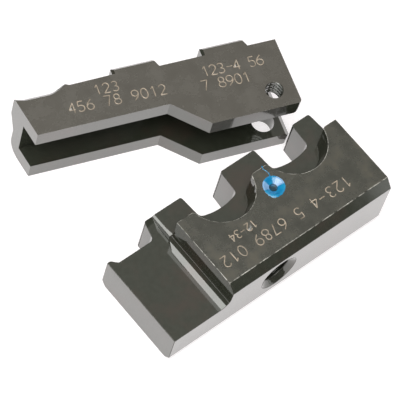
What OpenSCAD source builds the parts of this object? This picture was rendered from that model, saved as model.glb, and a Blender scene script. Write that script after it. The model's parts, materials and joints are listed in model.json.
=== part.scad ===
// Two-piece crimping die for small insulated terminals.
// The indenter half is a channel that straddles the tool's jaw. The nest half
// carries the nests that its indenters press into.
// The pair lies on a bench side by side, marked faces up, as it is laid out
// before fitting.
// Each half is drawn in its own frame: X along the jaw from its left end,
// Y towards the working edge, Z up from the bench, and is then set in place.
// The origin is on the axis of the indenter half's cross hole, at the bench.

/* [Pair] */
// Length of each half along the jaw
die_length = 35; // [34:0.5:40]
// Distance from one crimping station to the next
station_pitch = 12; // [11.6:0.1:12.4]
// First station's distance from the left end
first_station = 4.15; // [3.9:0.05:4.5]
// Sideways play between an indenter's foot and its nest's mouth
side_play = 0.15; // [0.1:0.05:0.3]

/* [Indenter half] */
// Thickness across both cheeks
channel_thickness = 10.1; // [9:0.1:13]
// Thickness of each cheek
cheek = 2.4; // [1.8:0.1:2.8]
// Height of the web over the channel
web = 2.7; // [2.4:0.1:3.2]
// Depth of the cheeks below the working edge, left part
shallow_drop = 5.6; // [4.5:0.1:6.5]
// Depth of the cheeks below the working edge, right part
deep_drop = 9.6; // [9.2:0.1:12]
// Where the dog-leg leaves the shallow part
dogleg_start = 18.6; // [14:0.1:19.5]
// Where the dog-leg reaches the deep part
dogleg_end = 22.8; // [21:0.1:24]
// How far the left end leans in at its foot
end_lean = 1.12; // [0:0.02:2]
// Rounding of the deep part's lower right corner
heel_round = 0.5; // [0.1:0.1:1.5]
// Lead-in bevel inside the channel's right mouth
mouth_bevel = 0.65; // [0.2:0.05:1]
// Height of the two indenters over the middle land
indenter_height = 1.22; // [1.1:0.02:1.5]
// Draw-in of each indenter's right flank at its top
indenter_flank = 0.5; // [0.1:0.05:0.8]
// Bevel along the indenters' front edges
indenter_bevel = 0.35; // [0.1:0.05:0.5]
// Height of the left land over the other lands
left_land = 0.3; // [0.1:0.02:0.5]
// Depth of the first station's dish below the lands
dish_depth = 0.15; // [0.05:0.01:0.4]
// Width of the first station's dish
dish_width = 6.8; // [6.4:0.05:7]
// Length of the dish's run down from its rim
dish_fall = 1.3; // [1:0.1:1.6]
// Length of the dish's rise to its cusp
dish_rise = 1.9; // [1.6:0.1:2.2]
// Radius between the dish's bottom and its two slopes
dish_round = 3; // [2:0.5:4]
// Height of the dish's rim at the left end
dish_rim = 0.09; // [0:0.01:0.3]
// Height of the cusp at the dish's right end
dish_cusp = 0.47; // [0.4:0.01:0.6]
// Length of the cusp's right slope
cusp_fall = 0.5; // [0.4:0.05:0.8]
// Dip of the left land at the cusp's foot
cusp_dip = 0.08; // [0.02:0.01:0.12]
// How far the insulation level lies below the wire level
insulation_step = 0.95; // [0.6:0.05:1.1]
// Length of the wire level, from the marked face
wire_level_length = 3.5; // [3:0.1:4.5]
// Length of the slope between the two levels
slope_length = 2.4; // [1.5:0.1:3]
// Rounding of the working edge at the bench side
back_round = 2; // [1:0.1:2.3]
// Cross hole's distance from the right end
cross_hole_inset = 2.9; // [2.5:0.1:4.5]
// Cross hole's depth below the lands
cross_hole_drop = 7.1; // [6:0.1:7.4]
// Tapped hole in the marked cheek, drilled size
tapped_diameter = 2.3; // [2:0.1:2.8]
// Clearance hole in the other cheek
clearance_diameter = 3; // [2.8:0.1:3.4]

/* [Nest half] */
// Thickness over the boss
nest_thickness = 9; // [8.5:0.1:11]
// Depth of the finger plate's face below the boss face
finger_relief = 2.9; // [2.7:0.1:3.4]
// Depth of the tab's face below the boss face
tab_relief = 3.9; // [3.8:0.1:4.6]
// Height of the fingertips over the boss's datum line
finger_height = 3.47; // [3:0.05:4]
// Depth of the seat face below the boss's datum line
seat_drop = 11.2; // [10.5:0.1:14]
// Width of each nest at its mouth
nest_mouth = 6.4; // [6:0.1:6.8]
// Narrowing of each nest from mouth to floor
nest_taper = 0.5; // [0.2:0.05:0.8]
// Depth of the nests' floors below the boss's datum line
nest_floor = 0.52; // [0.2:0.02:1]
// Height of the first station's floor over the datum line
first_floor = 1.1; // [0.9:0.05:1.3]
// First finger's tip, from the first station
first_reach = 2.85; // [2.7:0.05:3.1]
// Radius of the two closed nests' hollow floors
floor_radius = 8.5; // [7:0.5:14]
// Radius in the nests' lower corners
nest_corner = 0.7; // [0.3:0.05:1]
// Height of the lip at the tab's left end over the datum line
lip_height = 1.85; // [1.7:0.05:2.2]
// Width of the lip's top
lip_width = 0.5; // [0.4:0.05:0.8]
// Rounding of the lip and of its foot
lip_round = 0.4; // [0.2:0.05:0.5]
// Rounding of the fingertips' corners
tip_round = 0.3; // [0.1:0.05:0.6]
// Last finger's width at its tip
last_finger = 2.9; // [2.4:0.1:3.2]
// Radius of the insulation notches in the boss
notch_radius = 4.75; // [4.4:0.05:5]
// Height of the notches' centres over the datum line
notch_rise = 0.83; // [0.4:0.05:1.4]
// Narrowing of each notch from the boss face to the finger plate
notch_draft = 0.55; // [0.3:0.05:0.7]
// Rounding of the boss's lands beside the notches
land_round = 0.5; // [0.3:0.05:0.8]
// Turn of that rounding, from the land to the notch
land_bend = 35; // [25:5:45]
// Boss's distance from the left end
boss_start = 8.8; // [8.4:0.1:9.4]
// Fillet between the boss's left wall and the tab
boss_fillet = 1.4; // [1:0.1:1.7]
// Length of that fillet's run-out beside the first finger
fillet_run = 1.8; // [1:0.1:3]
// Width of the slanted edge along the first finger's plate
edge_width = 0.5; // [0.3:0.05:0.7]
// Depth of that slanted edge
edge_depth = 0.2; // [0.1:0.02:0.3]
// Length of the first finger's left part that rises to its tip
ramp_length = 1.65; // [1.2:0.05:2]
// Bevel between the boss face and the seat, in height
seat_bevel = 1.1; // [0.6:0.1:1.6]
// Bevel between the boss face and the seat, in depth
seat_bevel_depth = 1.3; // [0.6:0.1:1.8]
// Bevel along the bench side's long edges
back_bevel = 0.7; // [0.3:0.1:1]
// Seat screw hole's distance from the left end
seat_hole_x = 17; // [15:0.1:20]
// Seat screw hole, drilled size
seat_hole_diameter = 4.1; // [3.3:0.1:4.2]
// Countersink of the seat screw hole
seat_sink_diameter = 5.5; // [4.6:0.1:6]
// Full depth of the seat screw hole
seat_hole_depth = 6; // [4:0.1:6.3]

/* [Color dot] */
// Countersink that holds the color dot
dot_diameter = 2.9; // [2:0.1:3.2]
// Pilot hole in the middle of the dot
dot_pilot = 1.1; // [0.8:0.1:1.5]
// Included angle of the countersink
dot_angle = 120; // [100:5:130]
// Dot's depth below the boss's datum line
dot_drop = 2.9; // [2.4:0.1:4]
// Thickness of the paint
paint = 0.1; // [0.05:0.01:0.2]

/* [Pose on the bench] */
// Turn of the nest half
set_angle = 19.2; // [10:0.1:30]
// Gap between the last finger's tip and the indenter half
set_gap = 0.8; // [0.6:0.1:5]
// Last finger's corner, from the indenter half's right end
set_back = 0.95; // [0:0.05:2]

/* [Hidden] */
$fn = 96;

over = 1;
stations = [for (i = [0:2]) first_station + i * station_pitch];
cross_hole_x = die_length - cross_hole_inset;
back_level = indenter_height - insulation_step;
foot_width = nest_mouth - 2 * side_play;
slope_start = channel_thickness - wire_level_length;
slope_end = slope_start - slope_length;
finger_plate = nest_thickness - finger_relief;
tab_plate = nest_thickness - tab_relief;
edge_level = finger_plate - edge_depth;
dot_x = (stations[1] + stations[2]) / 2;
dot_cone = (dot_diameter - dot_pilot) / 2 / tan(dot_angle / 2);
last_finger_left = stations[2] + nest_mouth / 2;
heel_bottom = cross_hole_drop - deep_drop;
set_corner = [cross_hole_inset - set_back, heel_bottom - set_gap];

// Points of an arc from angle a to angle b
function arc(center, r, a, b, steps = 8) =
    [for (i = [0:steps]) center + r * [cos(a + (b - a) * i / steps), sin(a + (b - a) * i / steps)]];

function unit(v) = v / norm(v);

// One corner of an outline, rounded with radius p[2]
function corner(before, p, after) =
    p[2] == 0 ? [[p[0], p[1]]] :
    let (here = [p[0], p[1]])
    let (u = unit([before[0], before[1]] - here))
    let (v = unit([after[0], after[1]] - here))
    let (half = acos(u * v) / 2)
    let (center = here + unit(u + v) * p[2] / sin(half))
    let (start = here + u * p[2] / tan(half) - center)
    let (end = here + v * p[2] / tan(half) - center)
    let (a = atan2(start[1], start[0]))
    let (turn = atan2(end[1], end[0]) - a)
    let (b = a + turn - 360 * round(turn / 360))
    arc(center, p[2], a, b);

// An outline of [x, y, radius] corners
function rounded(points) =
    let (n = len(points))
    [for (i = [0:n - 1]) each corner(points[(i + n - 1) % n], points[i], points[(i + 1) % n])];

// Outline seen from the marked face, extruded up from height z
module plate(points, thickness, z = 0) {
    translate([0, 0, z])
        linear_extrude(thickness)
            polygon(points);
}

// Cross-section in [y, z], extruded along X from start to end
module bar(points, start, end) {
    translate([start, 0, 0])
        rotate([90, 0, 90])
            linear_extrude(end - start)
                polygon(points);
}

// Indenter half

function side_outline() = rounded([
    [0, dish_rim, 0],
    [dish_fall, -dish_depth, dish_round],
    [dish_width - dish_rise, -dish_depth, dish_round],
    [dish_width, dish_cusp, 0],
    [dish_width + cusp_fall, left_land - cusp_dip, 0],
    [stations[1] - foot_width / 2, left_land, 0],
    [stations[1] - foot_width / 2, indenter_height, 0],
    [stations[1] + foot_width / 2 - indenter_flank, indenter_height, 0],
    [stations[1] + foot_width / 2, 0, 0],
    [stations[2] - foot_width / 2, 0, 0],
    [stations[2] - foot_width / 2, indenter_height, 0],
    [stations[2] + foot_width / 2 - indenter_flank, indenter_height, 0],
    [stations[2] + foot_width / 2, 0, 0],
    [die_length, 0, 0],
    [die_length, -deep_drop, heel_round],
    [dogleg_end, -deep_drop, 0],
    [dogleg_start, -shallow_drop, 0],
    [end_lean, -shallow_drop, 0]]);

// Cross-section of the block, with its two levels and its rounded back
function block_section() = rounded([
    [-deep_drop - over, 0, 0],
    [back_level, 0, back_round],
    [back_level, slope_end, 0],
    [indenter_height, slope_start, 0],
    [indenter_height, channel_thickness, 0],
    [-deep_drop - over, channel_thickness, 0]]);

// The channel between the cheeks, with its lead-in at the right mouth
module channel() {
    far = channel_thickness - cheek;
    reach = mouth_bevel + over;
    translate([0, -web, 0])
        rotate([90, 0, 0])
            linear_extrude(deep_drop)
                polygon([
                    [-over, cheek],
                    [die_length - mouth_bevel, cheek],
                    [die_length + over, cheek - reach],
                    [die_length + over, far + reach],
                    [die_length - mouth_bevel, far],
                    [-over, far]]);
}

// What the dish takes away at one level, as an outline
function dish_cut() = rounded([
    [-over, dish_rim + (dish_rim + dish_depth) * over / dish_fall, 0],
    [dish_fall, -dish_depth, dish_round],
    [dish_width - dish_rise, -dish_depth, dish_round],
    [dish_width, dish_cusp, 0],
    [dish_width, indenter_height + over, 0],
    [-over, indenter_height + over, 0]]);

// What is cut away over the dish's insulation level, its slope and its rounded outlet
module lower_dish() {
    top = indenter_height + over;
    bar(concat(
        [[-insulation_step - back_round, -over]],
        arc([-insulation_step - back_round, back_round], back_round, -90, 0),
        [[-insulation_step, slope_end]],
        [[top, slope_end + (top + insulation_step) * slope_length / insulation_step]],
        [[top, -over]]),
        -over, dish_width);
}

// Bevel along an edge that runs in X
module bevel_x(start, end, y, z, size) {
    translate([(start + end) / 2, y, z])
        rotate([45, 0, 0])
            cube([end - start, size * sqrt(2), size * sqrt(2)], center = true);
}

// Bevel along an edge that runs in Y
module bevel_y(x, start, end, z, size) {
    translate([x, (start + end) / 2, z])
        rotate([0, 45, 0])
            cube([size * sqrt(2), end - start, size * sqrt(2)], center = true);
}

// Front edges of one indenter
module indenter_bevels(station, foot) {
    left = station - foot_width / 2;
    bevel_x(left - over, left + foot_width + over, indenter_height, channel_thickness, indenter_bevel);
    bevel_y(left, foot, indenter_height + over, channel_thickness, indenter_bevel);
}

module indenter_shape() {
    difference() {
        intersection() {
            plate(side_outline(), channel_thickness);
            bar(block_section(), -over, die_length + over);
        }
        lower_dish();
        // The dish's front edge is flared like the indenters'
        translate([0, 0, channel_thickness - indenter_bevel])
            rotate([45, 0, 0])
                plate(dish_cut(), 2 * indenter_bevel);
        indenter_bevels(stations[1], left_land);
        indenter_bevels(stations[2], 0);
        channel();
        translate([cross_hole_x, -cross_hole_drop, channel_thickness / 2])
            cylinder(d = tapped_diameter, h = channel_thickness);
        translate([cross_hole_x, -cross_hole_drop, -over])
            cylinder(d = clearance_diameter, h = channel_thickness / 2 + over);
    }
}

module indenter_half() {
    color([0.42, 0.40, 0.37])
        translate([-cross_hole_x, cross_hole_drop, 0])
            indenter_shape();
}

// Nest half

// Outline of a closed nest: tapered walls, rounded corners and a hollow floor
function nest_cut(station) =
    let (mouth = [nest_mouth / 2, finger_height])
    let (wall = unit([-nest_taper / 2, -(finger_height + nest_floor)]))
    let (out = [-wall[1], wall[0]])
    let (bowl = [0, floor_radius - nest_floor])
    let (start = mouth - out * nest_corner - bowl)
    let (run = -start * wall + sqrt((start * wall) ^ 2 - start * start + (floor_radius - nest_corner) ^ 2))
    let (center = bowl + start + run * wall)
    let (wall_turn = atan2(out[1], out[0]))
    let (floor_turn = atan2(center[1] - bowl[1], center[0]))
    let (right = concat(
        [mouth - over * wall],
        arc(center, nest_corner, wall_turn, floor_turn),
        arc(bowl, floor_radius, floor_turn, -90)))
    [for (p = right) [station + p[0], p[1]],
     for (i = [len(right) - 2:-1:0]) [station - right[i][0], right[i][1]]];

// Outline of the first nest: a flat floor, open to the left over a low lip
function first_nest() =
    let (right = stations[0] + first_reach)
    let (rise = lip_height - first_floor)
    let (draw = nest_taper / 2 * (finger_height - first_floor) / (finger_height + nest_floor))
    rounded([
        [-over, lip_height, 0],
        [lip_width, lip_height, lip_round],
        [lip_width + rise, first_floor, lip_round],
        [right - draw, first_floor, nest_corner],
        [right, finger_height, 0],
        [right, finger_height + over, 0],
        [-over, finger_height + over, 0]]);

module nests() {
    plate(first_nest(), nest_thickness + 2 * over, -over);
    for (i = [1:2])
        plate(nest_cut(stations[i]), nest_thickness + 2 * over, -over);
}

// Round the corners of the three fingertips
module tip_rounds() {
    tip_round_cut(stations[0] + first_reach, -1);
    for (i = [1:2]) {
        tip_round_cut(stations[i] - nest_mouth / 2, 1);
        tip_round_cut(stations[i] + nest_mouth / 2, -1);
    }
    tip_round_cut(last_finger_left + last_finger, 1);
}

module tip_round_cut(x, side) {
    center = [x - side * tip_round, finger_height - tip_round];
    plate(concat(
        [[x + side * over, finger_height - tip_round], [x + side * over, finger_height + over]],
        [[center[0], finger_height + over]],
        arc(center, tip_round, 90, side > 0 ? 0 : 180)),
        nest_thickness + 2 * over, -over);
}

// Outline of the blank, with its last finger and the corner beside it
function blank_outline() = [
    [0, -seat_drop],
    [die_length, -seat_drop],
    [die_length, 0],
    [last_finger_left + last_finger + nest_taper / 2, 0],
    [last_finger_left + last_finger, finger_height],
    [0, finger_height]];

// Rounded corner of a land beside a notch, led on straight into the notch
function land_corner(station, side) =
    let (x = sqrt((notch_radius + land_round) ^ 2 - (notch_rise + land_round) ^ 2))
    let (center = [station + side * x, -land_round])
    let (bend = 90 + side * land_bend)
    let (ahead = [-side * cos(land_bend), -sin(land_bend)])
    let (rounding = arc(center, land_round, 90, bend, 4))
    concat(rounding, [rounding[4] + (notch_draft + 2 * land_round) * ahead]);

function reversed(points) = [for (i = [len(points) - 1:-1:0]) points[i]];

// What is open over the boss's datum line, between the lands' rounded corners
function land_clear() = concat(
    [[-over, 0]],
    [for (i = [1:2]) each concat(land_corner(stations[i], -1), reversed(land_corner(stations[i], 1)))],
    [[die_length + over, 0]],
    [[die_length + over, finger_height + over]],
    [[-over, finger_height + over]]);

// The boss's top edge with its insulation notches, down to the finger plate
module boss_clear() {
    // The notches' draft is led on over the boss face
    spread = notch_draft * over / finger_relief;
    plate(land_clear(), finger_relief + over, finger_plate);
    for (i = [1:2])
        translate([stations[i], notch_rise, finger_plate])
            cylinder(r1 = notch_radius - notch_draft, r2 = notch_radius + spread, h = finger_relief + over);
}

// Cross-section in [x, z], extruded along Y from top down to bottom
module jamb(points, top, bottom) {
    translate([0, top, 0])
        rotate([90, 0, 0])
            linear_extrude(top - bottom)
                polygon(points);
}

module tab_cut() {
    high = nest_thickness + over;
    // Below the datum line the boss stands over the tab
    jamb(concat(
        [[-over, high], [-over, tab_plate]],
        arc([boss_start - boss_fillet, tab_plate + boss_fillet], boss_fillet, -90, 0),
        [[boss_start, high]]),
        0, -seat_drop - over);
    // The wall's fillet runs out beside the first finger
    plate([
        [-over, 0],
        [boss_start - edge_width, 0],
        [boss_start - boss_fillet, -fillet_run],
        [-over, -fillet_run]],
        tab_relief + over, tab_plate);
    // The first finger's plate ends in a slanted edge
    jamb([
        [-over, high],
        [-over, edge_level],
        [boss_start - edge_width, edge_level],
        [boss_start, finger_plate],
        [boss_start, high]],
        finger_height + over, 0);
    // Left of that edge the finger rises from the tab to its tip
    bar([
        [0, high],
        [0, tab_plate],
        [finger_height - ramp_length, tab_plate],
        [finger_height, edge_level],
        [finger_height + over, edge_level],
        [finger_height + over, high]],
        -over, boss_start - edge_width);
}

// Long bevels of the seat's two edges and the bench side's upper edge
module seat_bevels() {
    bar([
        [-seat_drop - over, nest_thickness + over],
        [-seat_drop - over, nest_thickness - seat_bevel_depth],
        [-seat_drop, nest_thickness - seat_bevel_depth],
        [-seat_drop + seat_bevel, nest_thickness],
        [-seat_drop + seat_bevel, nest_thickness + over]],
        -over, die_length + over);
    bevel_x(-over, die_length + over, -seat_drop, 0, back_bevel);
    bevel_x(-over, stations[0] - nest_mouth / 2 + over, lip_height, 0, back_bevel);
}

module seat_hole() {
    translate([seat_hole_x, -seat_drop, nest_thickness / 2])
        rotate([-90, 0, 0]) {
            translate([0, 0, -over])
                cylinder(d = seat_hole_diameter, h = seat_hole_depth + over);
            translate([0, 0, -over])
                cylinder(d1 = seat_sink_diameter + 2 * over, d2 = 0, h = seat_sink_diameter / 2 + over);
        }
}

module dot_hole() {
    // The countersink's cone is led on over the boss face
    spread = 2 * over * tan(dot_angle / 2);
    translate([dot_x, -dot_drop, nest_thickness - dot_cone]) {
        cylinder(d1 = dot_pilot, d2 = dot_diameter + spread, h = dot_cone + over);
        translate([0, 0, -dot_pilot])
            cylinder(d = dot_pilot, h = dot_cone + dot_pilot + over / 2);
    }
}

module nest_shape() {
    difference() {
        plate(blank_outline(), nest_thickness);
        nests();
        tip_rounds();
        boss_clear();
        tab_cut();
        seat_bevels();
        seat_hole();
        dot_hole();
    }
}

module set_nest_half() {
    translate([set_corner[0], set_corner[1], 0])
        rotate([0, 0, set_angle])
            translate([-last_finger_left, -finger_height, 0])
                children();
}

module nest_half() {
    color([0.33, 0.32, 0.30])
        set_nest_half()
            nest_shape();
}

// Color dot: paint on the countersink's wall
module color_dot() {
    color([0.08, 0.55, 0.78])
        set_nest_half()
            translate([dot_x, -dot_drop, nest_thickness - dot_cone])
                rotate_extrude()
                    polygon([
                        [dot_pilot / 2, 0],
                        [dot_diameter / 2, dot_cone],
                        [dot_diameter / 2 - paint / cos(dot_angle / 2), dot_cone],
                        [dot_pilot / 2, paint / sin(dot_angle / 2)]]);
}

indenter_half();
nest_half();
color_dot();
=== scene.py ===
import json
import math

import bpy
from mathutils import Euler, Matrix, Vector

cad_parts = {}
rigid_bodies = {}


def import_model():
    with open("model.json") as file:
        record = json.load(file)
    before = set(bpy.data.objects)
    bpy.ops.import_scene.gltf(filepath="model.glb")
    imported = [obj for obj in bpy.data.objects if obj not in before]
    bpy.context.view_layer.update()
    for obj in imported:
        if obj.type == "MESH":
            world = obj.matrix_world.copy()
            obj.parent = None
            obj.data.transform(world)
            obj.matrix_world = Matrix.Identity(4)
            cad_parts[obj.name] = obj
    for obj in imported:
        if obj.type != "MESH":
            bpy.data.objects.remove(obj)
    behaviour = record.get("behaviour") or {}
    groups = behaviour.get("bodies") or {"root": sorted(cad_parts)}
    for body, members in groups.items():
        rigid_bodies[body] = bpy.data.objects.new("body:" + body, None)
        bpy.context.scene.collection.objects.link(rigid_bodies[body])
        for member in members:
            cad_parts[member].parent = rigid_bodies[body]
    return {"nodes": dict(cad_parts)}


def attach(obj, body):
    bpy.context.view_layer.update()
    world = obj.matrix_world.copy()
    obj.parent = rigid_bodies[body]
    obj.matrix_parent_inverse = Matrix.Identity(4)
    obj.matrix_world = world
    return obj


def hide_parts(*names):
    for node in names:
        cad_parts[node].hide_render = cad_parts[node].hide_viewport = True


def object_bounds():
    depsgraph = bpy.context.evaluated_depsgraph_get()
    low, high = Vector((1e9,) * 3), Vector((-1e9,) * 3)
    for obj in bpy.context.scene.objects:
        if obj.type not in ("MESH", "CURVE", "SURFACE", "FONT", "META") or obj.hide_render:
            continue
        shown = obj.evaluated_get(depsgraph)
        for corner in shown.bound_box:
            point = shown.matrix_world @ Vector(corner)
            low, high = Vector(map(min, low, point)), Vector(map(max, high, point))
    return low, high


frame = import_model()
cadLow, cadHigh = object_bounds()
scene = bpy.context.scene
mm = 0.001

# Where the nest half lies: its own frame has X along the jaw from its left end and Y towards the fingertips
nestPlace = {"turn": 19.2, "finger": (31.35, 3.47), "corner": (1.95, -3.3), "top": 9.0}
indenterPlace = {"hole": (32.1, 7.1), "top": 10.1}


def nestFrame():
    fingerX, fingerY = nestPlace["finger"]
    cornerX, cornerY = nestPlace["corner"]
    turn = Matrix.Rotation(math.radians(nestPlace["turn"]), 4, "Z")
    return Matrix.Translation((cornerX, cornerY, 0)) @ turn @ Matrix.Translation((-fingerX, -fingerY, 0))


def indenterFrame():
    holeX, holeY = indenterPlace["hole"]
    return Matrix.Translation((-holeX, holeY, 0))


def deselectAll():
    for item in bpy.context.view_layer.objects:
        item.select_set(False)


def takeHold(item):
    deselectAll()
    item.select_set(True)
    bpy.context.view_layer.objects.active = item


def applyModifier(item, modifier):
    takeHold(item)
    bpy.ops.object.modifier_apply(modifier=modifier.name)


def weld(item, distance):
    takeHold(item)
    bpy.ops.object.mode_set(mode="EDIT")
    bpy.ops.mesh.select_all(action="SELECT")
    bpy.ops.mesh.remove_doubles(threshold=distance * mm)
    bpy.ops.object.mode_set(mode="OBJECT")


def joinAll(items, name):
    deselectAll()
    for item in items:
        item.select_set(True)
    bpy.context.view_layer.objects.active = items[0]
    if len(items) > 1:
        bpy.ops.object.join()
    items[0].name = name
    return items[0]


def smoothByAngle(item, degrees):
    # Large flats stay flat beside their small bevels
    takeHold(item)
    bpy.ops.object.shade_smooth_by_angle(angle=math.radians(degrees), keep_sharp_edges=True)
    weighted = item.modifiers.new("weighted", "WEIGHTED_NORMAL")
    weighted.keep_sharp = True
    weighted.weight = 100
    applyModifier(item, weighted)


class Signal:
    def __init__(self, recipe, socket):
        self.recipe = recipe
        self.socket = socket

    def maths(self, operation, *others):
        return self.recipe.add("ShaderNodeMath", {"operation": operation}, [self, *others])

    def __add__(self, other):
        return self.maths("ADD", other)

    def __radd__(self, other):
        return self.maths("ADD", other)

    def __sub__(self, other):
        return self.maths("SUBTRACT", other)

    def __rsub__(self, other):
        return self.recipe.add("ShaderNodeMath", {"operation": "SUBTRACT"}, [other, self])

    def __mul__(self, other):
        return self.maths("MULTIPLY", other)

    def __rmul__(self, other):
        return self.maths("MULTIPLY", other)

    def step(self, low, high):
        return self.recipe.add(
            "ShaderNodeMapRange", {"clamp": True, "interpolation_type": "SMOOTHSTEP"},
            {"Value": self, "From Min": low, "From Max": high})


class Recipe:
    def __init__(self, name):
        self.material = bpy.data.materials.new(name)
        self.material.use_nodes = True
        self.tree = self.material.node_tree
        self.shader = self.tree.nodes["Principled BSDF"]
        self.coordinates = self.tree.nodes.new("ShaderNodeTexCoord")

    def place(self):
        return Signal(self, self.coordinates.outputs["Object"])

    def height(self):
        return self.add("ShaderNodeSeparateXYZ", {}, [self.place()], output=2)

    def feed(self, node, key, value):
        if isinstance(value, Signal):
            self.tree.links.new(value.socket, node.inputs[key])
        else:
            node.inputs[key].default_value = value

    def add(self, kind, settings=None, inputs=None, output=0):
        node = self.tree.nodes.new(kind)
        for key, value in (settings or {}).items():
            setattr(node, key, value)
        pairs = inputs.items() if isinstance(inputs, dict) else enumerate(inputs or [])
        for key, value in pairs:
            self.feed(node, key, value)
        return Signal(self, node.outputs[output])

    def noise(self, vector, scale, detail=4, roughness=0.5):
        return self.add("ShaderNodeTexNoise", {}, {
            "Vector": vector, "Scale": scale, "Detail": detail, "Roughness": roughness})

    def stretched(self, scales):
        return self.add("ShaderNodeMapping", {}, {"Vector": self.place(), "Scale": scales})

    def blend(self, factor, first, second):
        return self.add("ShaderNodeMix", {"data_type": "RGBA"}, {0: factor, 6: first, 7: second}, output=2)

    def finish(self, values):
        for key, value in values.items():
            self.feed(self.shader, key, value)
        return self.material


def colour(red, green, blue):
    return (red, green, blue, 1)


cameraView = {
    "place": (-0.121194, -0.152363, 0.302321),
    "turn": (29.6310, -9.7355, -20.6846),
    "lens": 252,
    "sensor": 36,
    "clip": (0.01, 20),
}

camera = bpy.data.objects.new("photoCamera", bpy.data.cameras.new("photoCamera"))
scene.collection.objects.link(camera)
camera.location = cameraView["place"]
camera.rotation_euler = Euler([math.radians(angle) for angle in cameraView["turn"]])
camera.data.sensor_width = cameraView["sensor"]
camera.data.lens = cameraView["lens"]
camera.data.clip_start, camera.data.clip_end = cameraView["clip"]
scene.camera = camera

studio = {
    "floorSize": 6,
    "floorColours": (colour(0.5, 0.485, 0.488), colour(0.52, 0.505, 0.508)),
    "floorGrain": 900,
    "floorRoughness": 0.9,
    "floorSheen": 0.2,
    "floorGlow": (colour(1, 0.97, 0.975), 0.68),
    "surround": colour(0.12, 0.12, 0.11),
}

deselectAll()
bpy.ops.mesh.primitive_plane_add(size=studio["floorSize"], location=(0, 0, 0))
floor = bpy.context.active_object
floor.name = "paper_floor"
bpy.ops.object.transform_apply(location=True, rotation=True, scale=True)
paper = Recipe("whitePaper")
floor.data.materials.append(paper.finish({
    "Base Color": paper.blend(paper.noise(paper.place(), studio["floorGrain"]), *studio["floorColours"]),
    "Roughness": studio["floorRoughness"],
    "Specular IOR Level": studio["floorSheen"],
    "Emission Color": studio["floorGlow"][0],
    "Emission Strength": studio["floorGlow"][1],
}))

world = bpy.data.worlds.new("studioRoom")
scene.world = world
world.use_nodes = True
world.node_tree.nodes["Background"].inputs["Color"].default_value = studio["surround"]
world.node_tree.nodes["Background"].inputs["Strength"].default_value = 1
scene.view_settings.view_transform = "Standard"

# Places, aims and sizes in metres. The steel mirrors the overhead panel, the front one whitens the paper,
# and the card lights the right end of the seat's bevel
panels = {
    "overheadPanel": {
        "place": (-0.35, -0.13, 0.8), "aim": (-0.35, -0.13, 0), "width": 1.02, "height": 0.78,
        "radiance": 3.4},
    "frontPanel": {
        "place": (-0.2, -0.32, 0.72), "aim": (0, 0, 0), "width": 0.7, "height": 0.55, "radiance": 1.3},
    "backPanel": {
        "place": (0.2, 0.27, 0.62), "aim": (0, 0, 0), "width": 0.62, "height": 0.4, "radiance": 0.25,
        "tint": (1, 0.98, 0.94)},
    "sideCard": {
        "place": (0.825, -0.429, 0.075), "aim": (0, 0, 0.01), "width": 0.5, "height": 0.1, "radiance": 0.8},
}


def softbox(name, place, aim, width, height, radiance, tint=(1, 1, 1)):
    light = bpy.data.lights.new(name, "AREA")
    light.shape = "RECTANGLE"
    light.size = width
    light.size_y = height
    light.color = tint
    light.energy = radiance * width * height * math.pi
    lamp = bpy.data.objects.new(name, light)
    scene.collection.objects.link(lamp)
    lamp.location = place
    lamp.rotation_euler = (Vector(place) - Vector(aim)).to_track_quat("Z", "Y").to_euler()


for name, panel in panels.items():
    softbox(name, **panel)
print("studio and camera are set")

# A noise is its scale, detail and roughness, and a pair of steps is where a mask starts and is full
steelLook = {
    "body": (colour(0.037, 0.041, 0.028), colour(0.047, 0.051, 0.037)),
    "stain": colour(0.062, 0.048, 0.036),
    "metallic": 0.3,
    "index": 1.9,
    "bodyRoughness": (0.05, 0.1),
    "faceRoughness": (0.2, 0.34),
    "coat": {"weight": 0.9, "roughness": 0.05, "index": 1.5},
    "faceEdge": (0.06, 0.02),
    "blotch": (420, 6, 0.62),
    "blotchSteps": {"dark": (0.3, 0.52), "light": (0.5, 0.72), "rough": (0.3, 0.7)},
    "grain": (3600, 3, 0.6),
    "grainSteps": (0.62, 0.72),
    "grainShare": 0.5,
    "brush": (1500, 4, 0.6),
    "brushStretch": (1, 1, 0.12),
    "brushSteps": (0.35, 0.65),
    "stains": (190, 5, 0.6),
    "stainSteps": (0.46, 0.7),
    "stainShare": 0.85,
    "bump": {"strength": 0.12, "depth": 0.00002, "brushShare": 0.3},
}
faceLook = {
    "marked": (colour(0.108, 0.099, 0.081), colour(0.119, 0.109, 0.09), colour(0.1, 0.091, 0.074)),
    "boss": (colour(0.06, 0.059, 0.044), colour(0.088, 0.08, 0.054), colour(0.046, 0.046, 0.034)),
}


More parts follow.
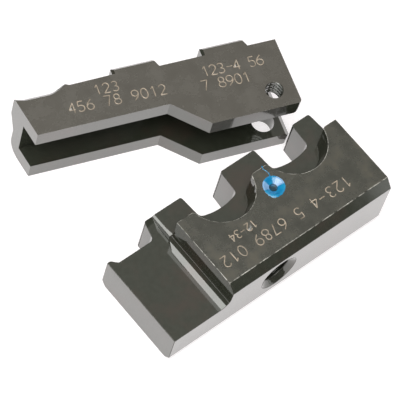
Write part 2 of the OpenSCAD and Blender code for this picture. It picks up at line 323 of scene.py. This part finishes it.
def darkSteel(name, tones, faceAbove):
    # The marked face is duller and more blotched than the sides and the steps
    recipe = Recipe(name)
    place = recipe.place()
    faceStart, faceFull = steelLook["faceEdge"]
    face = recipe.height().step((faceAbove - faceStart) * mm, (faceAbove - faceFull) * mm)
    blotch = recipe.noise(place, *steelLook["blotch"])
    grain = recipe.noise(place, *steelLook["grain"])
    brush = recipe.noise(recipe.stretched(steelLook["brushStretch"]), *steelLook["brush"])
    middle, light, dark = tones
    blotchSteps = steelLook["blotchSteps"]
    skin = recipe.blend(blotch.step(*blotchSteps["light"]), middle, light)
    skin = recipe.blend(blotch.step(*blotchSteps["dark"]), dark, skin)
    skin = recipe.blend(grain.step(*steelLook["grainSteps"]) * steelLook["grainShare"], skin, light)
    body = recipe.blend(brush.step(*steelLook["brushSteps"]), *steelLook["body"])
    stain = recipe.noise(place, *steelLook["stains"]).step(*steelLook["stainSteps"])
    body = recipe.blend(stain * steelLook["stainShare"], body, steelLook["stain"])
    low, high = steelLook["faceRoughness"]
    smooth, dull = steelLook["bodyRoughness"]
    faceRough = low + (high - low) * blotch.step(*blotchSteps["rough"])
    bodyRough = smooth + (dull - smooth) * brush
    coat = steelLook["coat"]
    relief = steelLook["bump"]
    bump = recipe.add("ShaderNodeBump", {}, {
        "Strength": relief["strength"], "Distance": relief["depth"],
        "Height": grain * face + brush * relief["brushShare"]})
    return recipe.finish({
        "Base Color": recipe.blend(face, body, skin),
        "Metallic": steelLook["metallic"],
        "IOR": steelLook["index"],
        "Roughness": bodyRough + (faceRough - bodyRough) * face,
        "Normal": bump,
        "Coat Weight": coat["weight"],
        "Coat Roughness": coat["roughness"],
        "Coat IOR": coat["index"],
    })


edgeLook = {
    "dark": colour(0.05, 0.05, 0.042),
    "bare": colour(0.66, 0.64, 0.58),
    "metallic": 0.3,
    "roughness": (0.2, 0.48),
    "patch": (1000, 5, 0.7),
    "patchSteps": (0.56, 0.84),
    "faceEdge": (0.25, 0.1),
    "elsewhere": 0.08,
}


def wornEdge(name, faceAbove, wear):
    # Edges of the marked face are rubbed bright in patches, the others hardly
    recipe = Recipe(name)
    place = recipe.place()
    faceStart, faceFull = edgeLook["faceEdge"]
    near = recipe.height().step((faceAbove - faceStart) * mm, (faceAbove - faceFull) * mm)
    patchStart, patchFull = edgeLook["patchSteps"]
    patch = recipe.noise(place, *edgeLook["patch"]).step(patchStart - wear, patchFull - wear)
    elsewhere = edgeLook["elsewhere"]
    bare = patch * (elsewhere + (1 - elsewhere) * near)
    smooth, dull = edgeLook["roughness"]
    return recipe.finish({
        "Base Color": recipe.blend(bare, edgeLook["dark"], edgeLook["bare"]),
        "Metallic": edgeLook["metallic"],
        "Roughness": smooth + (dull - smooth) * bare,
    })


engravedLook = {
    "tones": (colour(0.5, 0.42, 0.33), colour(0.33, 0.28, 0.22)),
    "patch": (1400, 3, 0.6),
    "patchSteps": (0.35, 0.65),
    "metallic": 0.2,
    "roughness": 0.5,
}


def engraved(name):
    recipe = Recipe(name)
    patch = recipe.noise(recipe.place(), *engravedLook["patch"]).step(*engravedLook["patchSteps"])
    return recipe.finish({
        "Base Color": recipe.blend(patch, *engravedLook["tones"]),
        "Metallic": engravedLook["metallic"],
        "Roughness": engravedLook["roughness"],
    })


# Strokes of plain digits in a cell one high, read left to right
def bow(x, y, wide, high, start, end, steps=10):
    turns = [math.radians(start + (end - start) * i / steps) for i in range(steps + 1)]
    return [(x + wide * math.cos(turn), y + high * math.sin(turn)) for turn in turns]


sixStroke = [(0.47, 1)] + bow(0.6, 0.3, 0.6, 0.62, 125, 178, 5) + bow(0.3, 0.3, 0.3, 0.3, 180, -180, 16)
digitStrokes = {
    "0": [bow(0.3, 0.5, 0.3, 0.5, 90, 450, 20)],
    "1": [[(0.14, 0.76), (0.36, 1)], [(0.36, 1), (0.36, 0)]],
    "2": [bow(0.3, 0.71, 0.28, 0.29, 160, -35) + [(0.02, 0)], [(0.02, 0), (0.6, 0)]],
    "3": [bow(0.28, 0.76, 0.25, 0.24, 150, -90), bow(0.28, 0.26, 0.3, 0.26, 90, -150)],
    "4": [[(0.46, 0), (0.46, 1)], [(0.46, 1), (0, 0.3)], [(0, 0.3), (0.62, 0.3)]],
    "5": [[(0.54, 1), (0.1, 1)], [(0.1, 1), (0.05, 0.54)], bow(0.27, 0.31, 0.31, 0.31, 135, -145)],
    "6": [sixStroke],
    "7": [[(0, 1), (0.58, 1)], [(0.58, 1), (0.2, 0)]],
    "8": [bow(0.3, 0.75, 0.24, 0.25, -90, 270, 16), bow(0.3, 0.26, 0.3, 0.26, 90, 450, 16)],
    "9": [[(0.6 - x, 1 - y) for x, y in sixStroke]],
    "-": [[(0.1, 0.5), (0.66, 0.5)]],
}
grooveShape = {"radius": 0.085, "depth": 0.05, "sides": 2}
strokeJoint = 0.001  # a stroke whose ends are nearer than this is a ring


def tube(name, strokes, radius, sides):
    # Strokes are lists of points in metres
    curve = bpy.data.curves.new(name, "CURVE")
    curve.dimensions = "3D"
    curve.bevel_depth = radius
    curve.bevel_resolution = sides
    curve.use_fill_caps = True
    curve.twist_mode = "Z_UP"
    for stroke in strokes:
        closed = (stroke[0] - stroke[-1]).length < strokeJoint * mm
        points = stroke[:-1] if closed else stroke
        spline = curve.splines.new("POLY")
        spline.points.add(len(points) - 1)
        spline.use_cyclic_u = closed
        for point, spot in zip(spline.points, points):
            point.co = (*spot, 1)
    item = bpy.data.objects.new(name, curve)
    scene.collection.objects.link(item)
    takeHold(item)
    bpy.ops.object.convert(target="MESH")
    return bpy.context.active_object


def digitRow(text, start, size, pitch, turn, top, place):
    # One cutter for a row: start is the foot of its first digit, turn its direction in degrees
    rise = grooveShape["radius"] - grooveShape["depth"]
    row = place @ Matrix.Translation((*start, top + rise)) @ Matrix.Rotation(math.radians(turn), 4, "Z")
    strokes = [
        [row @ Vector((number * pitch + x * size, y * size, 0)) * mm for x, y in stroke]
        for number, sign in enumerate(text) for stroke in digitStrokes.get(sign, [])]
    return tube("row", strokes, grooveShape["radius"] * mm, grooveShape["sides"])


def threadCutter(hole, place):
    # A helix whose sharp edge cuts the thread's grooves into the drilled wall
    turns = (hole["length"] + 2 * hole["pitch"]) / hole["pitch"]
    count = round(turns * hole["steps"])
    helix = [
        place @ Vector((
            hole["radius"] * math.cos(math.tau * i / hole["steps"]),
            hole["radius"] * math.sin(math.tau * i / hole["steps"]),
            i * hole["pitch"] / hole["steps"] - hole["pitch"])) * mm
        for i in range(count + 1)]
    return tube("thread", [helix], hole["groove"] * mm, 0)


# Points closer than doubles are one, turns below flat are dissolved, turns above edgeAngle are broken
skinShape = {"doubles": 0.0005, "flat": 0.6, "edgeAngle": 32, "edgeSteps": 2, "smooth": 28}


def cutAway(skin, cutter, material):
    cutter.data.materials.clear()
    cutter.data.materials.append(material)
    cut = skin.modifiers.new("cut", "BOOLEAN")
    cut.operation = "DIFFERENCE"
    cut.solver = "EXACT"
    cut.use_self = True
    cut.material_mode = "TRANSFER"
    cut.object = cutter
    applyModifier(skin, cut)
    bpy.data.objects.remove(cutter, do_unlink=True)


def makeSkin(half, place, top):
    # A merged copy of the solid, with its edges broken, its threads and its markings cut
    steel = darkSteel(half["steel"], half["tones"], top)
    worn = wornEdge(half["worn"], top, half["wear"])
    skin = bpy.data.objects.new(half["name"], frame["nodes"][half["node"]].data.copy())
    scene.collection.objects.link(skin)
    skin.data.materials.clear()
    for material in (steel, worn, engravedSteel):
        skin.data.materials.append(material)
    weld(skin, skinShape["doubles"])
    bpy.ops.object.mode_set(mode="EDIT")
    bpy.ops.mesh.dissolve_limited(angle_limit=math.radians(skinShape["flat"]))
    bpy.ops.object.mode_set(mode="OBJECT")
    for face in skin.data.polygons:
        face.material_index = 0
    edge = skin.modifiers.new("brokenEdges", "BEVEL")
    edge.width = half["edgeWidth"] * mm
    edge.segments = skinShape["edgeSteps"]
    edge.limit_method = "ANGLE"
    edge.angle_limit = math.radians(skinShape["edgeAngle"])
    edge.material = 1
    edge.use_clamp_overlap = half["clampEdges"]
    applyModifier(skin, edge)
    for corner in skin.data.vertices:
        # An unclamped edge would dip below the bench at one corner
        corner.co.z = max(corner.co.z, cadLow.z)
    for thread in half["threads"]:
        cutAway(skin, threadCutter(thread, place @ thread["place"]), steel)
    cutAway(skin, joinAll([digitRow(*row, top, place) for row in half["rows"]], "markings"), engravedSteel)
    smoothByAngle(skin, skinShape["smooth"])
    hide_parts(half["node"])
    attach(skin, half["body"])
    print(half["name"] + ": skin, edges, thread and digits")


# A row is its text, the foot of its first digit, their height and pitch and the row's turn, and a thread's
# place points into its hole, all in the half's own frame
indenterHalf = {
    "node": "indenter_half",
    "name": "indenter_steel",
    "body": "indenter",
    "slot": "dark_steel",
    "steel": "blackenedSteel",
    "worn": "wornEdge",
    "tones": faceLook["marked"],
    "wear": 0.1,
    "edgeWidth": 0.09,
    "clampEdges": True,
    "rows": [
        ("123", (10.0, -2.0), 1.4, 1.15, -1.5),
        ("456 78 9012", (6.0, -3.75), 1.45, 1.19, -1.6),
        ("123-4 56", (24.1, -2.95), 1.45, 1.05, -1.4),
        ("7 8901", (23.4, -4.9), 1.45, 1.1, -1.6),
    ],
    "threads": [{
        "place": Matrix.Translation((indenterPlace["hole"][0], -indenterPlace["hole"][1], 7.5)),
        "radius": 1.15, "pitch": 0.635, "length": 2.8, "groove": 0.16, "steps": 48,
    }],
}
nestHalf = {
    "node": "nest_half",
    "name": "nest_steel",
    "body": "nest",
    "slot": "dark_steel_nest",
    "steel": "blackenedNest",
    "worn": "wornNestEdge",
    "tones": faceLook["boss"],
    "wear": 0.2,
    "edgeWidth": 0.06,
    "clampEdges": False,
    "rows": [
        ("123-4 5 6789 012", (30.6, -6.85), 1.5, 1.32, 180),
        ("12-34", (16.9, -4.95), 1.1, 0.85, 180),
    ],
    "threads": [{
        "place": Matrix.Translation((17.0, -9.4, 4.5)) @ Matrix.Rotation(math.radians(-90), 4, "X"),
        "radius": 2.05, "pitch": 0.794, "length": 2.8, "groove": 0.25, "steps": 48,
    }],
}

engravedSteel = engraved("engravedSteel")
makeSkin(indenterHalf, indenterFrame(), indenterPlace["top"])
makeSkin(nestHalf, nestFrame(), nestPlace["top"])

# Middle, smear and rim runs are in the nest half's own frame, along the jaw and down from its upper face
paintLook = {
    "blue": colour(0.002, 0.21, 0.46),
    "light": colour(0.006, 0.3, 0.56),
    # near-black painted shade of the pilot hole, for the disc in its mouth
    "paintedShadePool": colour(0.012, 0.04, 0.055),
    # the colour below is a painted highlight for the countersink's two wedges
    "paintedGlint": colour(0.3, 0.5, 0.78),
    "patch": (1200, 3, 0.6),
    "patchSteps": (0.4, 0.65),
    "paintedGlintTurns": (163, 30),
    "paintedGlintSteps": (0.84, 0.93),
    "paintedGlintShare": (0.6, 0.5),
    "roughness": (0.12, 0.1),
    "coat": (0.6, 0.2),
    "middle": (22.15, 2.9),
}


def bluePaintAndPaintedGlint():
    # Two wedges of the countersink get a light blue-grey painted highlight, standing in for the steel cone's
    # glint
    recipe = Recipe("bluePaintAndPaintedGlint")
    along, down = paintLook["middle"]
    middle = nestFrame() @ Vector((along, -down, 0)) * mm
    offset = recipe.add("ShaderNodeVectorMath", {"operation": "SUBTRACT"}, [recipe.place(), tuple(middle)])
    flat = recipe.add("ShaderNodeVectorMath", {"operation": "MULTIPLY"}, [offset, (1, 1, 0)])
    outward = recipe.add("ShaderNodeVectorMath", {"operation": "NORMALIZE"}, [flat])
    patch = recipe.noise(recipe.place(), *paintLook["patch"])
    # the wedges facing these turns get the painted highlight colour
    paintedGlint = 0
    for turn in paintLook["paintedGlintTurns"]:
        side = (math.cos(math.radians(turn)), math.sin(math.radians(turn)), 0)
        facing = recipe.add("ShaderNodeVectorMath", {"operation": "DOT_PRODUCT"}, [outward, side], output=1)
        paintedGlint = paintedGlint + facing.step(*paintLook["paintedGlintSteps"])
    full = recipe.blend(patch.step(*paintLook["patchSteps"]), paintLook["blue"], paintLook["light"])
    paintedGlintLeast, paintedGlintMore = paintLook["paintedGlintShare"]
    smooth, roughMore = paintLook["roughness"]
    coat, coatMore = paintLook["coat"]
    # the base colour carries the painted highlight wedges over the blue
    return recipe.finish({
        "Base Color": recipe.blend(paintedGlint * (paintedGlintLeast + patch * paintedGlintMore), full, paintLook["paintedGlint"]),
        "Roughness": smooth + patch * roughMore,
        "Coat Weight": coat + patch * coatMore,
    })


paint = bluePaintAndPaintedGlint()
dot = frame["nodes"]["color_dot"]
for slot in dot.material_slots:
    slot.material = paint
if not dot.material_slots:
    dot.data.materials.append(paint)

# A thin run of paint leads from the land to the dot, and some has run over the dot's lower rim:
# each rim run is its radius, start, end and steps about the dot's middle, and its height
smearShape = {
    "radius": 0.07,
    "sides": 2,
    "run": [
        (22.74, -0.12), (22.65, 0.1), (22.57, 0.33), (22.68, 0.6), (22.73, 0.77), (22.76, 1.23), (22.6, 1.6)],
    "runHeight": -0.04,
    "rimRuns": [
        (1.46, 80, 175, 14, -0.03),
        (1.55, 105, 158, 10, -0.04),
        (1.63, 122, 143, 6, -0.05)],
}
paintSmooth = 40


def paintRun(points, height):
    return [nestFrame() @ Vector((along, -down, nestPlace["top"] + height)) * mm for along, down in points]


def rimRun(radius, start, end, steps):
    along, down = paintLook["middle"]
    return bow(along, down, radius, radius, start, end, steps)


def paintSmear():
    strokes = [paintRun(smearShape["run"], smearShape["runHeight"])]
    for *rim, height in smearShape["rimRuns"]:
        strokes.append(paintRun(rimRun(*rim), height))
    smear = tube("paint_smear", strokes, smearShape["radius"] * mm, smearShape["sides"])
    weld(smear, skinShape["doubles"])
    smear.data.materials.append(paint)
    smoothByAngle(smear, paintSmooth)
    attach(smear, "nest")


# A disc stands in the pilot hole's mouth, with a hollow top: each sink is how far a ring of it drops. It is
# coloured near-black as painted shade of the hole, with patches of blue paint
poolShape = {"sides": 32, "radius": 0.54, "depth": 0.12, "below": 0.62, "ring": 0.14, "sinks": (0.05, 0.02)}
poolLook = {"patch": (1500, 3, 0.6), "patchSteps": (0.4, 0.7), "blueShare": 0.5, "roughness": (0.3, 0.15)}


def poolPaintAndPaintedShade():
    recipe = Recipe("poolPaintAndPaintedShade")
    patch = recipe.noise(recipe.place(), *poolLook["patch"])
    blue = patch.step(*poolLook["patchSteps"]) * poolLook["blueShare"]
    smooth, roughMore = poolLook["roughness"]
    # near-black painted shade of the pilot hole, with blue paint in patches
    return recipe.finish({
        "Base Color": recipe.blend(blue, paintLook["paintedShadePool"], paintLook["blue"]),
        "Roughness": smooth + patch * roughMore,
    })


def paintPoolAndPaintedShade():
    along, down = paintLook["middle"]
    middle = nestFrame() @ Vector((along, -down, nestPlace["top"] - poolShape["below"])) * mm
    deselectAll()
    bpy.ops.mesh.primitive_cylinder_add(
        vertices=poolShape["sides"], radius=poolShape["radius"] * mm, depth=poolShape["depth"] * mm,
        location=middle)
    paintedShadePool = bpy.context.active_object
    paintedShadePool.name = "paint_pool_painted_shade"
    bpy.ops.object.transform_apply(location=True, rotation=True, scale=True)
    bpy.ops.object.mode_set(mode="EDIT")
    bpy.ops.mesh.select_all(action="DESELECT")
    bpy.ops.object.mode_set(mode="OBJECT")
    top = max(paintedShadePool.data.polygons, key=lambda face: face.center.z)
    top.select = True
    bpy.ops.object.mode_set(mode="EDIT")
    for sink in poolShape["sinks"]:
        bpy.ops.mesh.inset(thickness=poolShape["ring"] * mm)
        bpy.ops.transform.translate(value=(0, 0, -sink * mm))
    bpy.ops.object.mode_set(mode="OBJECT")
    paintedShadePool.data.materials.append(poolPaintAndPaintedShade())
    smoothByAngle(paintedShadePool, paintSmooth)
    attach(paintedShadePool, "nest")


paintSmear()
paintPoolAndPaintedShade()
print("paint: dot, smear and pool")
